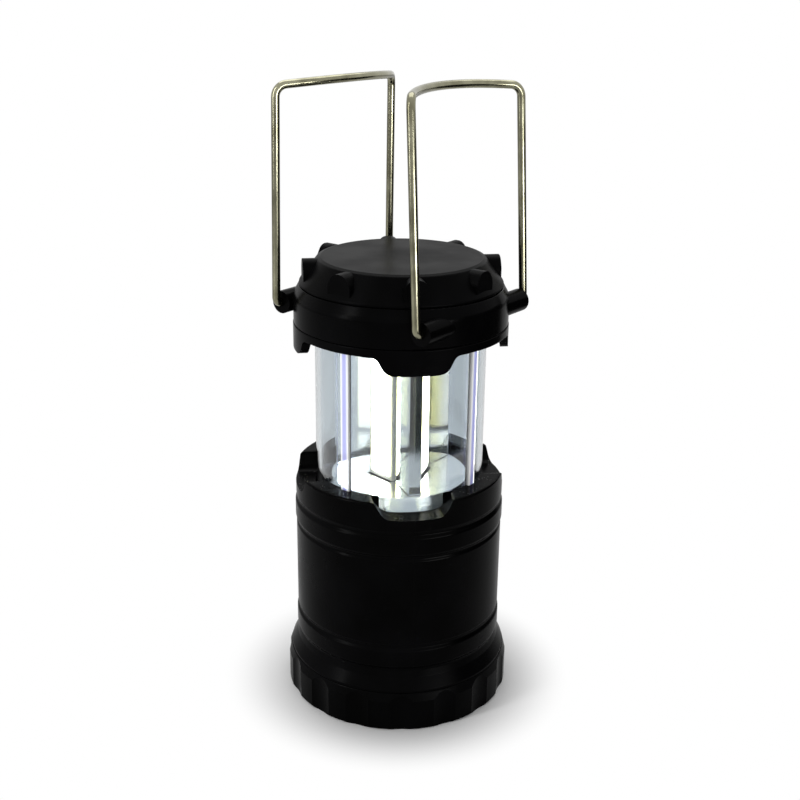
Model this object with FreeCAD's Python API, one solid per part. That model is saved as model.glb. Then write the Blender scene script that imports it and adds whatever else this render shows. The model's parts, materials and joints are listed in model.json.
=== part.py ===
"""Pull-up camping lantern: a base with three AA cells, a lit head that slides up out of it,
two wire handles and a screw-on base cover. Millimetres, +Z up, origin at the bottom centre,
front towards -Y. An azimuth of 0 faces the front and 90 faces +X."""
import FreeCAD, Part
import math
import os

Vector = FreeCAD.Vector
UP = Vector(0, 0, 1)
CENTRE = Vector(0, 0, 0)
FULL_TURN = 360.0

# Clearances
face_gap = 0.1          # flat faces that meet
seat_gap = 0.3          # a piece in its seat
slide_gap = 0.4         # sliding faces of the head and the base
shut_gap = 0.3          # head to crown when the lantern is shut
stop_gap = 0.3          # stop lip to crown when the lantern is pulled up
pin_gap = 0.06          # handle pin in its boss
thread_gap = 0.3        # between the two threads
cell_gap = 0.35         # cell in its well

# Light core
hub_flat = 9.2          # axis to the flat that carries a board
core_wall = 1.5
fin_half_width = 2.4    # at the tip
strip_azimuth = -46.5
board_thickness = 1.0
board_width = 13.0
strip_thickness = 1.2
strip_width = 10.8
strip_end_margin = 1.6
flange_thickness_core = 2.3
core_solid_top = 9.0    # unhollowed length under the flange

# Batteries
cell_radius = 7.25
cell_length = 49.5
nub_radius = 2.75
nub_height = 1.0
well_wall = 1.0
well_gap = 0.8          # light strip to the wall of a well
well_roof = 1.6
contact_thickness = 0.4
contact_radius = 5.5
spring_height = 5.9
spring_radius = 4.2
spring_wire_radius = 0.45
spring_turns = 3
spring_sides = 6        # arcs in a turn
disc_thickness = 1.6
disc_margin = 0.8
disc_boss_height = 5.8
disc_boss_radius = 6.0
disc_screw_radius = 1.5
disc_screw_head_radius = 4.0
disc_screw_head_height = 1.5
key_radius = 2.0
key_grip = 0.2          # key in the disc when the cover is let down
cover_travel = 4.5

# Lens tube
tube_room = 2.9         # wells to the inside of the tube
tube_wall = 2.0
rib_height = 1.6
rib_width = 4.0
lip_width = 2.4
lip_height = 3.7
tube_flange_width = 3.7
tube_flange_height = 1.5

# Base casing
rim_width = 8.1
casing_wall = 2.4
crown_depth = 14.0
collar_wall = 0.6       # left outside the stop lip
notch_depth = 6.7
notch_half_width = 15.5
notch_floor_half_width = 11.9
notch_corner = 5.0
notch_edge = 1.6        # where a notch opens at the rim
tab_root = 3.2          # where a tab leaves the skirt
crown_azimuth = 8.5
rim_edge = 0.9
bottom_gap = 1.1        # stop lip above the ledge when shut
ledge_thickness = 3.0
ledge_rise = 1.6        # ledge above the seam of the cover
neck_step = 0.6
neck_wall = 2.0
neck_foot = 1.8         # above the floor of the cover
flare_inset = 1.4
flare_height = 5.6
flare_lip = 0.7
band_pitch = 5.0        # groove to the middle of its bead
band_groove = 0.7
band_bead = 0.35
band_half_groove = 1.6
band_blend = 1.6
lower_band_rise = 13.9  # middle of the lower band above the seam
upper_band_drop = 18.0  # middle of the upper band below the rim

# Base cover
cover_height = 16.4
cover_wall = 3.7
cover_floor = 2.2
cover_top_slope = 3.5
cover_top_inset = 1.2
cover_edge = 0.9
foot_recess = 1.0
foot_width = 10.4
scallop_count = 16
scallop_radius = 18.0
scallop_depth = 0.95
scallop_azimuth = 2.4
seam_gap = 0.2
seal_radius = 0.8
cover_rim_edge = 0.5
thread_height = 0.8
thread_pitch = 3.0
thread_width = 1.2
thread_crest = 0.8
thread_turns = 1.8
thread_root = 0.25      # sunk into the wall that carries it

# Battery holder
holder_flange = 3.2
post_thickness = 3.2
post_width = 6.0
post_room = 0.9         # post to the inside of the tube
fin_room = 1.7          # fin tip to its post
peg_radius = 1.6
peg_boss_radius = 3.5
peg_boss_length = 9.0
peg_length = 6.0

# Reflector plate
plate_drop = 3.3        # below the rim
plate_bevel_width = 3.6
plate_bevel_fall = 7.0
plate_thickness = 1.6
plate_edge_gap = 0.7

# Contacts
contact_strip_width = 4.0
contact_bump = 0.55
contact_bump_height = 3.0
pad_thickness = 0.5
pad_height = 5.0
pad_width = 3.6

# Head
travel = 58.0
skirt_height = 3.3
tab_thickness = 3.2
tab_gap = 0.4
ring_height = 14.8
ring_wall = 3.2
ring_inset = 0.2
ring_shoulder = 4.0
ring_shoulder_inset = 2.2
ring_floor = 2.4
cap_height = 10.6
cap_wall = 2.4
cap_lip = 0.9
cap_inset = 2.4
cap_flank = 7.5         # edge of the disc to the rim of the cap
cap_edge = 1.1
cap_plug_depth = 2.6
cap_plug_wall = 2.0
lug_count = 8
lug_half_width = 5.3
lug_crown_half_width = 2.6
lug_shoulder = 4.2      # top of the arch to its upright sides
lug_corner = 4.0
lug_reach = 6.2         # beyond the edge of the disc
lug_drop = 0.4
driver_margin = 9.4     # board to the inside of the head ring
driver_thickness = 1.6
driver_rise = 3.6
standoff_radius = 3.0
standoff_margin = 6.0   # standoff to the edge of the board
chip_width = 5.0
chip_length = 6.0
chip_height = 2.0
coil_radius = 3.5
capacitor_radius = 2.5
driver_parts_circle = 12.0

# Handles
wire_radius = 1.6
handle_azimuth = 51.8
pivot_rise = 7.3        # above the bottom of the head ring
pivot_inset = 8.1       # hinge line inside the ring's surface
leg_stand = 9.95        # leg beyond the place where the hinge line leaves the ring
bar_draw = 0.9          # legs drawn together at the bar
bar_clearance = 1.2     # bar to the casing when folded down
handle_height = 82.8
bar_tilt = 10.0
bar_corner = 4.6
hook_radius = 2.6
lean_left = 0.9
lean_right = 3.2
boss_radius = 4.5
pin_length = 9.4

# Screws
screw_radius = 0.95
screw_head_radius = 1.4
screw_head_height = 1.2
screw_engaged = 2.6
cut_margin = 1.0        # cutters run past the faces they open
shortest_run = 0.01     # shorter straight runs of a path are left out
skirt_screw_length = 8.0
screw_pillar_radius = 2.2
screw_pillar_cap = 1.0  # solid above the end of a screw
core_screw_inset = 9.5  # fin tip to its screw
core_screw_length = 8.0

# Radii worked outwards from the core
strip_front = hub_flat + board_thickness + strip_thickness
well_bore = cell_radius + cell_gap
well_radius = well_bore + well_wall
cell_circle = strip_front + well_gap + well_radius
tube_bore = cell_circle + well_radius + tube_room
tube_radius = tube_bore + tube_wall
rib_radius = tube_radius + rib_height
lip_radius = tube_radius + lip_width
crown_bore = tube_radius + slide_gap
slot_radius = rib_radius + slide_gap
collar_radius = lip_radius + collar_wall
ledge_bore = lip_radius + slide_gap
casing_radius = crown_bore + rim_width
casing_bore = casing_radius - casing_wall
neck_radius = casing_radius - neck_step
neck_bore = neck_radius - neck_wall
cover_bore = neck_radius + thread_height + thread_gap
cover_radius = cover_bore + cover_wall
flare_radius = cover_radius - flare_inset
flange_radius = neck_bore - seat_gap
disc_radius = neck_bore - disc_margin
post_outer = tube_bore - post_room
post_inner = post_outer - post_thickness
fin_radius = post_inner - fin_room
plate_radius = tube_bore - plate_edge_gap
tube_flange_radius = tube_radius + tube_flange_width
skirt_bore = rib_radius + seat_gap
head_radius = casing_radius
ring_radius = head_radius - ring_inset
ring_bore = ring_radius - ring_wall
cap_radius = ring_radius - cap_inset
cap_disc_radius = cap_radius - cap_flank
lug_radius = cap_disc_radius + lug_reach
driver_radius = ring_bore - driver_margin
standoff_circle = driver_radius - standoff_margin
core_screw_circle = fin_radius - core_screw_inset
pivot_distance = ring_radius - pivot_inset
leg_half_span = math.sqrt(ring_radius ** 2 - pivot_distance ** 2) + leg_stand
bar_half_span = leg_half_span - bar_draw
bar_bow = casing_radius + band_bead + wire_radius + bar_clearance - pivot_distance
boss_end = leg_half_span - hook_radius - face_gap
boss_root = math.sqrt(ring_radius ** 2 - (pivot_distance + boss_radius) ** 2)
plate_flat_radius = plate_radius - plate_bevel_width

# Heights worked upwards from the floor
floor_top = foot_recess + cover_floor
disc_low = floor_top + disc_boss_height + face_gap
disc_high = disc_low + disc_thickness
cell_low = disc_high + spring_height + face_gap
cell_high = cell_low + cell_length
contact_low = cell_high + nub_height + face_gap
well_top = contact_low + contact_thickness
well_high = well_top + well_roof
seam_height = cover_height + seam_gap
neck_low = floor_top + neck_foot
ledge_low = seam_height + ledge_rise
ledge_high = ledge_low + ledge_thickness
flange_low = ledge_low - holder_flange
key_low = disc_high - cover_travel - key_grip
lip_high = ledge_high + bottom_gap + travel + lip_height
tube_low = lip_high - lip_height
crown_low = lip_high + stop_gap
rim_height = crown_low + crown_depth
notch_floor = rim_height - notch_depth
plate_high = rim_height - plate_drop
plate_edge_height = plate_high - plate_bevel_fall
skirt_low = rim_height + travel + shut_gap
skirt_high = skirt_low + skirt_height
tab_low = skirt_low - notch_depth
ring_low = skirt_high + face_gap
ring_high = ring_low + ring_height
floor_high = ring_low + ring_floor
cap_low = ring_high + seam_gap
cap_high = cap_low + cap_height
pivot_height = ring_low + pivot_rise
core_low = tube_low
core_high = ring_low - face_gap
core_flange_low = core_high - flange_thickness_core
strip_low = plate_high + strip_end_margin
strip_high = core_flange_low - strip_end_margin
driver_low = floor_high + driver_rise
driver_high = driver_low + driver_thickness
strip_azimuths = [strip_azimuth + index * FULL_TURN / 3 for index in range(3)]
fin_azimuths = [azimuth + FULL_TURN / 6 for azimuth in strip_azimuths]
crown_azimuths = [crown_azimuth + index * FULL_TURN / 4 for index in range(4)]
rib_azimuths = [azimuth + FULL_TURN / 8 for azimuth in crown_azimuths]


def direction(azimuth):
    """Level unit vector that points outwards at an azimuth in degrees."""
    angle = math.radians(azimuth)
    return Vector(math.sin(angle), -math.cos(angle), 0)


def at(azimuth, radius, height=0.0):
    """Point at an azimuth, a distance from the axis and a height."""
    return direction(azimuth) * radius + UP * height


def turned(shape, azimuth):
    """Copy of a shape made at the front, turned to an azimuth."""
    copy = shape.copy()
    copy.rotate(CENTRE, UP, azimuth)
    return copy


def cylinder(radius, low, high, place=CENTRE):
    """Upright round bar."""
    return Part.makeCylinder(radius, high - low, place + UP * low, UP)


def ring(outer, inner, low, high):
    """Upright round sleeve."""
    return cylinder(outer, low, high).cut(cylinder(inner, low, high))


def block(near, far, width, low, high, azimuth):
    """Box from one radius to another, at an azimuth."""
    corner = Vector(-width / 2, -far, low)
    return turned(Part.makeBox(width, far - near, high - low, corner), azimuth)


def rounded_wire(points, radii, closed=False):
    """Straight runs through the points, each corner rounded by a tangent arc.

    A radius of None gives the largest arc that the neighbouring corners leave room for."""
    count = len(points)
    corners = list(range(count)) if closed else list(range(1, count - 1))
    half_turns = {}
    reaches = {index: 0.0 for index in range(count)}
    for index in corners:
        back = points[index - 1].sub(points[index])
        ahead = points[(index + 1) % count].sub(points[index])
        half_turns[index] = (math.pi - back.getAngle(ahead)) / 2
        if radii[index]:
            room = min(back.Length, ahead.Length) / 2
            reaches[index] = min(radii[index] * math.tan(half_turns[index]), room)
    for index in corners:
        if radii[index] is None:
            after = (index + 1) % count
            back_room = points[index - 1].distanceToPoint(points[index]) - reaches[index - 1]
            ahead_room = points[after].distanceToPoint(points[index]) - reaches[after]
            reaches[index] = min(back_room, ahead_room)
    edges = []
    last = points[0] if not closed else None
    first = last
    for index in corners + ([] if closed else [count - 1]):
        corner = points[index]
        back = points[index - 1].sub(corner).normalize()
        ahead = points[(index + 1) % count].sub(corner).normalize()
        start = corner + back * reaches[index]
        end = corner + ahead * reaches[index]
        if last is None:
            first = start
        elif last.distanceToPoint(start) > shortest_run:
            edges.append(Part.LineSegment(last, start).toShape())
        else:
            start = last
        if reaches[index] > 0.0:
            half_turn = half_turns[index]
            radius = reaches[index] / math.tan(half_turn)
            inwards = (back + ahead).normalize()
            middle = corner + inwards * (radius / math.cos(half_turn) - radius)
            edges.append(Part.Arc(start, middle, end).toShape())
            last = end
        else:
            last = start
    if closed:
        edges.append(Part.LineSegment(last, first).toShape())
    return Part.Wire(edges)


def turned_solid(outline):
    """Solid of revolution from (radius, height, corner radius) points."""
    points = [Vector(radius, 0, height) for radius, height, _ in outline]
    radii = [corner for _, _, corner in outline]
    face = Part.Face(rounded_wire(points, radii, closed=True))
    return face.revolve(CENTRE, UP, FULL_TURN)


def radial_prism(outline, near, far, azimuth):
    """Outline of (sideways, height, corner radius) points, carried outwards between two radii."""
    points = [Vector(across, -near, height) for across, height, _ in outline]
    radii = [corner for _, _, corner in outline]
    face = Part.Face(rounded_wire(points, radii, closed=True))
    return turned(face.extrude(Vector(0, near - far, 0)), azimuth)


def joined(first, others):
    """One solid from overlapping solids."""
    return first.fuse(list(others)).removeSplitter()


def tube_along(path, radius, start, tangent):
    """Round wire along a path, with its volume compared with section times length."""
    section = Part.Wire(Part.makeCircle(radius, start, tangent))
    solid = path.makePipeShell([section], True, False)
    print("wire volume ratio", round(solid.Volume / (math.pi * radius ** 2 * path.Length), 4))
    return solid


def helix_ridge(outline, pitch, turns, radius, low):
    """Thread ridge: an outline of (radius, height) points swept up a right-hand helix."""
    path = Part.makeHelix(pitch, pitch * turns, radius)
    points = [Vector(across, 0, height) for across, height in outline]
    section = Part.makePolygon(points + points[:1])
    ridge = path.makePipeShell([section], True, True)
    ridge.translate(UP * low)
    return ridge


def screw(place, low, length, pointing_down=False):
    """Pan-head screw whose head bears on the height given and whose shank goes up, or down."""
    sense = -UP if pointing_down else UP
    foot = place + UP * low
    shank = Part.makeCylinder(screw_radius, length, foot, sense)
    head = Part.makeCylinder(screw_head_radius, screw_head_height, foot, sense * -1)
    return joined(shank, [head])


def screw_hole(place, low, high):
    """Clearance hole for a screw."""
    return cylinder(screw_radius + pin_gap, low, high, place)


def core_outline(flat, tip_radius, tip_half_width, shift=0.0):
    """Three-armed outline: a flat for each board, then straight trough walls out to the fin tips."""
    half_board = board_width / 2 + shift
    points = []
    for azimuth in strip_azimuths:
        across = direction(azimuth + FULL_TURN / 4)
        out = direction(azimuth)
        fin = direction(azimuth + FULL_TURN / 6)
        fin_across = direction(azimuth + FULL_TURN / 6 + FULL_TURN / 4)
        points.append(out * flat - across * half_board)
        points.append(out * flat + across * half_board)
        points.append(fin * tip_radius - fin_across * tip_half_width)
        points.append(fin * tip_radius + fin_across * tip_half_width)
    return Part.Face(Part.makePolygon(points + points[:1]))


def pillar(face, low, high):
    """Level outline carried up from one height to another."""
    copy = face.copy()
    copy.translate(UP * low)
    return copy.extrude(UP * (high - low))


def band_points(middle, radius):
    """Two grooves with a bead between them, as corners of the casing's outline from low to high."""
    return [
        (radius, middle - band_pitch - band_half_groove, band_blend),
        (radius - band_groove, middle - band_pitch, band_blend),
        (radius + band_bead, middle - band_pitch + band_half_groove, band_blend),
        (radius + band_bead, middle + band_pitch - band_half_groove, band_blend),
        (radius - band_groove, middle + band_pitch, band_blend),
        (radius, middle + band_pitch + band_half_groove, band_blend),
    ]


def make_base_casing():
    """Shell with two grooved bands, a flared foot, a threaded neck and a notched crown."""
    outline = [
        (neck_radius, neck_low, rim_edge / 2),
        (neck_radius, seam_height, 0),
        (flare_radius, seam_height, 0),
        (flare_radius, seam_height + flare_lip, rim_edge),
        (casing_radius + band_bead, seam_height + flare_height, band_blend),
    ]
    outline += band_points(seam_height + lower_band_rise, casing_radius)[1:]
    outline += band_points(rim_height - upper_band_drop, casing_radius)
    outline += [
        (casing_radius, rim_height, rim_edge),
        (crown_bore, rim_height, rim_edge / 2),
        (crown_bore, crown_low, 0),
        (collar_radius, crown_low, 0),
        (collar_radius, notch_floor - casing_wall, 0),
        (casing_bore, notch_floor - casing_wall, 0),
        (casing_bore, ledge_high, 0),
        (ledge_bore, ledge_high, 0),
        (ledge_bore, ledge_low, 0),
        (neck_bore, ledge_low, 0),
        (neck_bore, neck_low, 0),
    ]
    casing = turned_solid(outline)
    notch = [
        (-notch_half_width - notch_corner, rim_height + cut_margin, 0),
        (-notch_half_width - notch_corner, rim_height, 0),
        (-notch_half_width, rim_height, notch_edge),
        (-notch_floor_half_width, notch_floor, notch_corner),
        (notch_floor_half_width, notch_floor, notch_corner),
        (notch_half_width, rim_height, notch_edge),
        (notch_half_width + notch_corner, rim_height, 0),
        (notch_half_width + notch_corner, rim_height + cut_margin, 0),
    ]
    for azimuth in crown_azimuths:
        casing = casing.cut(radial_prism(notch, tube_bore, cover_radius, azimuth))
    for azimuth in rib_azimuths:
        slot = block(tube_bore, slot_radius, rib_width + 2 * slide_gap,
                     crown_low - cut_margin, rim_height + cut_margin, azimuth)
        casing = casing.cut(slot)
    for azimuth in fin_azimuths:
        place = at(azimuth, holder_screw_circle)
        casing = casing.cut(screw_hole(place, ledge_low, ledge_low + screw_engaged))
    return casing.fuse(make_thread(neck_radius, 1.0, thread_low))


def make_thread(wall_radius, sense, low):
    """Thread ridge on a wall, standing outwards (sense 1) or inwards (sense -1)."""
    root = wall_radius - sense * thread_root
    crest = wall_radius + sense * thread_height
    outline = [
        (root, -thread_width / 2),
        (crest, -thread_crest / 2),
        (crest, thread_crest / 2),
        (root, thread_width / 2),
    ]
    return helix_ridge(outline, thread_pitch, thread_turns, wall_radius, low)


def make_cover_seal():
    """Round-section seal under the flare."""
    return Part.makeTorus(neck_radius + seal_radius + face_gap, seal_radius,
                          UP * (seam_height - seal_radius - face_gap), UP)


def make_base_cover():
    """Cup with a scalloped grip, a ring foot, an inside thread and a boss for the contact disc."""
    recess_radius = cover_radius - foot_width
    seal_room = neck_radius + 2 * seal_radius + 2 * face_gap + seat_gap
    seal_floor = seam_height - 2 * seal_radius - 2 * face_gap - seat_gap
    outline = [
        (0, foot_recess, 0),
        (recess_radius, foot_recess, 0),
        (recess_radius + foot_recess, 0, 0),
        (cover_radius, 0, cover_edge),
        (cover_radius, cover_height - cover_top_slope, cover_edge),
        (cover_radius - cover_top_inset, cover_height, cover_rim_edge),
        (seal_room, cover_height, 0),
        (seal_room, seal_floor, 0),
        (cover_bore, seal_floor, 0),
        (cover_bore, floor_top, 0),
        (disc_boss_radius, floor_top, 0),
        (disc_boss_radius, floor_top + disc_boss_height, 0),
        (0, floor_top + disc_boss_height, 0),
    ]
    cover = turned_solid(outline)
    for index in range(scallop_count):
        azimuth = scallop_azimuth + index * FULL_TURN / scallop_count
        place = at(azimuth, cover_radius + scallop_radius - scallop_depth)
        cover = cover.cut(cylinder(scallop_radius, -cut_margin, cover_height + cut_margin, place))
    cover = cover.cut(cylinder(disc_screw_radius, floor_top, disc_low))
    return cover.fuse(make_thread(cover_bore, -1.0, thread_low + thread_pitch / 2))


def make_cover_screw():
    """Shoulder screw that holds the contact disc on its boss."""
    shank = cylinder(disc_screw_radius, floor_top + face_gap, disc_high + face_gap)
    head_low = disc_high + face_gap
    head = cylinder(disc_screw_head_radius, head_low, head_low + disc_screw_head_height)
    return joined(shank, [head])


def make_contact_disc():
    """Disc that stays square to the cells while the cover turns under it."""
    disc = cylinder(disc_radius, disc_low, disc_high)
    disc = disc.cut(cylinder(disc_screw_radius + seat_gap, disc_low, disc_high))
    for azimuth in fin_azimuths:
        disc = disc.cut(cylinder(key_radius + seat_gap, disc_low, disc_high, at(azimuth, key_circle)))
    return disc


def make_battery_spring(azimuth):
    """Coil between the contact disc and the foot of a cell: arcs that climb round a polygon and meet
    in the middle of its sides."""
    rise = spring_height - 2 * spring_wire_radius
    corner_count = spring_turns * spring_sides + 1
    corner_radius = spring_radius / math.cos(math.pi / spring_sides)
    foot = at(azimuth, cell_circle, disc_high + spring_wire_radius + face_gap / 2)
    turn_step = FULL_TURN / spring_sides
    rise_step = rise / (corner_count - 1)
    points = [foot + at(azimuth + index * turn_step, corner_radius, index * rise_step)
              for index in range(corner_count)]
    path = rounded_wire(points, [spring_radius * spring_sides] * corner_count)
    return tube_along(path, spring_wire_radius, points[0], points[1] - points[0])


def make_battery_cell(azimuth):
    """AA cell, nub upwards."""
    place = at(azimuth, cell_circle)
    can = cylinder(cell_radius, cell_low, cell_high, place)
    nub = cylinder(nub_radius, cell_high, cell_high + nub_height, place)
    return joined(can, [nub])


def make_top_contact(azimuth):
    """Contact plate in the roof of a well."""
    return cylinder(contact_radius, contact_low, well_top, at(azimuth, cell_circle))


def make_battery_holder():
    """Flange with three closed wells, three posts beside the fins and keys for the contact disc."""
    flange = cylinder(flange_radius, flange_low, ledge_low)
    wells = [cylinder(well_radius, flange_low, well_high, at(azimuth, cell_circle))
             for azimuth in strip_azimuths]
    bosses = [cylinder(peg_boss_radius, well_high, peg_seat, at(azimuth, cell_circle))
              for azimuth in strip_azimuths]
    posts = [block(post_inner, post_outer, post_width, ledge_low, post_high, azimuth)
             for azimuth in fin_azimuths]
    keys = [cylinder(key_radius, key_low, flange_low, at(azimuth, key_circle))
            for azimuth in fin_azimuths]
    holder = joined(flange, wells + bosses + posts + keys)
    for azimuth in strip_azimuths:
        place = at(azimuth, cell_circle)
        holder = holder.cut(cylinder(well_bore, flange_low, well_top, place))
        peg_hole = cylinder(peg_radius + pin_gap, peg_seat - peg_length - seat_gap, peg_seat, place)
        holder = holder.cut(peg_hole)
    for azimuth in fin_azimuths:
        holder = holder.cut(screw_hole(at(azimuth, holder_screw_circle), flange_low, ledge_low))
    return holder


def make_holder_screws():
    """Three screws up through the flange into the ledge of the casing."""
    length = holder_flange + screw_engaged - face_gap
    screws = [screw(at(azimuth, holder_screw_circle), flange_low, length) for azimuth in fin_azimuths]
    return Part.makeCompound(screws)


def make_reflector_plate():
    """Flat plate with a bevelled edge, a slot for the core and three pegs that sit in the holder."""
    disc = turned_solid([
        (0, plate_high - plate_thickness, 0),
        (plate_flat_radius, plate_high - plate_thickness, 0),
        (plate_radius, plate_edge_height - plate_thickness, 0),
        (plate_radius, plate_edge_height, 0),
        (plate_flat_radius, plate_high, 0),
        (0, plate_high, 0),
    ])
    pegs = []
    for azimuth in strip_azimuths:
        place = at(azimuth, cell_circle)
        pegs.append(cylinder(peg_boss_radius, peg_seat, plate_high - plate_thickness / 2, place))
        pegs.append(cylinder(peg_radius, peg_seat - peg_length, peg_seat, place))
    plate = joined(disc, pegs)
    slot = core_outline(hub_flat + slide_gap, fin_radius + slide_gap,
                        fin_half_width + slide_gap, slide_gap)
    plate = plate.cut(pillar(slot, core_low, rim_height))
    for azimuth in strip_azimuths:
        plate = plate.cut(block(hub_flat, strip_front + slide_gap, board_width + 2 * slide_gap,
                                core_low, rim_height, azimuth))
    return plate


def plate_height_at(radius):
    """Height of the top of the reflector plate at a distance from the axis."""
    return plate_high - plate_bevel_fall * max(0.0, radius - plate_flat_radius) / plate_bevel_width


def make_contact_strip(azimuth):
    """Brass strip down the face of a post, with a bump that bears on the pad of the core."""
    strip_face = post_inner - contact_thickness
    strip = block(strip_face, post_inner, contact_strip_width, ledge_low, pad_high, azimuth)
    bump = block(strip_face - contact_bump, post_inner, contact_strip_width,
                 pad_high - contact_bump_height, pad_high, azimuth)
    return joined(strip, [bump])


def make_contact_pads():
    """Two pads on the foot of the core, under the plate."""
    pad_low = pad_high - pad_height
    pads = [block(fin_radius, fin_radius + pad_thickness, pad_width, pad_low, pad_high, azimuth)
            for azimuth in fin_azimuths[:2]]
    return Part.makeCompound(pads)


def make_reflector_core():
    """Hollow three-armed core that hangs from a round flange in the head."""
    outer = core_outline(hub_flat, fin_radius, fin_half_width)
    inner = core_outline(hub_flat - core_wall, fin_radius - core_wall,
                         fin_half_width - core_wall, -core_wall)
    core = pillar(outer, core_low, core_flange_low)
    core = core.cut(pillar(inner, core_low, core_flange_low - core_solid_top))
    core = joined(core, [cylinder(tube_bore - slide_gap, core_flange_low, core_high)])
    for azimuth in strip_azimuths:
        core = core.cut(board_slot(azimuth, core_flange_low, core_high))
    for azimuth in fin_azimuths:
        place = at(azimuth, core_screw_circle)
        core = core.cut(screw_hole(place, core_high - core_screw_length, core_high))
    return core


def board_slot(azimuth, low, high):
    """Slot through which a light board reaches the driver board."""
    return block(hub_flat - face_gap, hub_flat + board_thickness + face_gap,
                 board_width + 2 * seat_gap, low, high, azimuth)


def make_cob_board(azimuth):
    """Board of one light strip, up to the driver board."""
    return block(hub_flat, hub_flat + board_thickness, board_width, strip_low - strip_end_margin,
                 driver_low, azimuth)


def make_cob_strip(azimuth):
    """Light strip on its board."""
    return block(hub_flat + board_thickness, strip_front, strip_width, strip_low, strip_high, azimuth)


def make_lens_tube():
    """Clear tube with four upright ribs, a stop lip and a clamping flange."""
    tube = turned_solid([
        (tube_bore, tube_low, 0),
        (lip_radius, tube_low, rim_edge),
        (lip_radius, lip_high, 0),
        (tube_radius, lip_high, 0),
        (tube_radius, tube_flange_low, 0),
        (tube_flange_radius, tube_flange_low, 0),
        (tube_flange_radius, skirt_high, 0),
        (tube_bore, skirt_high, 0),
    ])
    middle_radius = tube_radius - tube_wall / 2
    rib_low = lip_high - lip_height / 2
    ribs = [block(middle_radius, rib_radius, rib_width, rib_low, skirt_high - seat_gap, azimuth)
            for azimuth in rib_azimuths]
    return joined(tube, ribs)


def make_skirt_ring():
    """Ring under the head ring, with four tabs that fill the notches of the crown when shut."""
    skirt = turned_solid([
        (skirt_bore, skirt_low, 0),
        (head_radius, skirt_low, rim_edge / 2),
        (head_radius, skirt_high, rim_edge / 2),
        (tube_flange_radius + seat_gap, skirt_high, 0),
        (tube_flange_radius + seat_gap, tube_flange_low - face_gap, 0),
        (skirt_bore, tube_flange_low - face_gap, 0),
    ])
    middle = skirt_low + skirt_height / 2
    tab = [
        (-notch_half_width + tab_gap - notch_corner, middle, 0),
        (-notch_half_width + tab_gap - notch_corner, skirt_low, 0),
        (-notch_half_width + tab_gap, skirt_low, tab_root),
        (-notch_floor_half_width + tab_gap, tab_low, notch_corner),
        (notch_floor_half_width - tab_gap, tab_low, notch_corner),
        (notch_half_width - tab_gap, skirt_low, tab_root),
        (notch_half_width - tab_gap + notch_corner, skirt_low, 0),
        (notch_half_width - tab_gap + notch_corner, middle, 0),
    ]
    sleeve = ring(head_radius, head_radius - tab_thickness, tab_low, middle)
    tabs = [radial_prism(tab, tube_radius, cover_radius, azimuth).common(sleeve)
            for azimuth in crown_azimuths]
    skirt = joined(skirt, tabs)
    for azimuth in rib_azimuths:
        place = at(azimuth, skirt_screw_circle)
        skirt = skirt.cut(screw_hole(place, skirt_low, skirt_high))
        recess = cylinder(screw_head_radius + seat_gap, skirt_low, skirt_screw_seat, place)
        skirt = skirt.cut(recess)
    return skirt


def make_skirt_screws():
    """Four screws up through the skirt ring into the head ring."""
    screws = [screw(at(azimuth, skirt_screw_circle), skirt_screw_seat, skirt_screw_length)
              for azimuth in rib_azimuths]
    return Part.makeCompound(screws)


def handle_frame(side):
    """Outward level direction and hinge direction of the right (0) or left (180) handle."""
    return direction(handle_azimuth + side), direction(handle_azimuth + side + FULL_TURN / 4)


def make_head_ring():
    """Ring with a floor, four handle bosses on two parallel hinge lines and three standoffs."""
    body = turned_solid([
        (0, ring_low, 0),
        (ring_radius, ring_low, rim_edge / 2),
        (ring_radius, ring_high - ring_shoulder, ring_shoulder),
        (ring_radius - ring_shoulder_inset, ring_high, rim_edge / 2),
        (0, ring_high, 0),
    ])
    bosses = []
    bores = []
    for side in (0, FULL_TURN / 2):
        outwards, along = handle_frame(side)
        middle = outwards * pivot_distance + UP * pivot_height
        for sense in (-1, 1):
            root = middle + along * (sense * boss_root)
            bosses.append(Part.makeCylinder(boss_radius, boss_end - boss_root, root, along * sense))
            foot = middle + along * (sense * (boss_end - pin_length))
            bores.append(Part.makeCylinder(wire_radius + pin_gap, pin_length, foot, along * sense))
    body = joined(body, bosses)
    body = body.cut(cylinder(ring_bore, floor_high, ring_high))
    inside = cylinder(ring_bore + ring_wall / 2, floor_high, ring_high)
    pillars = [cylinder(screw_pillar_radius, floor_high, skirt_screw_high + screw_pillar_cap,
                        at(azimuth, skirt_screw_circle)) for azimuth in rib_azimuths]
    body = joined(body, [piece.common(inside) for piece in bosses + pillars])
    body = joined(body, [cylinder(standoff_radius, floor_high - ring_floor / 2, driver_low,
                                  at(azimuth, standoff_circle)) for azimuth in strip_azimuths])
    for bore in bores:
        body = body.cut(bore)
    for azimuth in strip_azimuths:
        body = body.cut(board_slot(azimuth, ring_low, floor_high))
        body = body.cut(screw_hole(at(azimuth, standoff_circle), floor_high, driver_low))
    for azimuth in fin_azimuths:
        body = body.cut(screw_hole(at(azimuth, core_screw_circle), ring_low, floor_high))
    for azimuth in rib_azimuths:
        body = body.cut(screw_hole(at(azimuth, skirt_screw_circle), ring_low, skirt_screw_high))
    return body


def make_core_screws():
    """Three screws down through the floor of the head ring into the core."""
    length = floor_high - core_high + core_screw_length - seat_gap
    screws = [screw(at(azimuth, core_screw_circle), floor_high, length, pointing_down=True)
              for azimuth in fin_azimuths]
    return Part.makeCompound(screws)


def make_driver_board():
    """Round board on the standoffs."""
    board = cylinder(driver_radius, driver_low, driver_high)
    for azimuth in strip_azimuths:
        board = board.cut(screw_hole(at(azimuth, standoff_circle), driver_low, driver_high))
    return board


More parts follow.
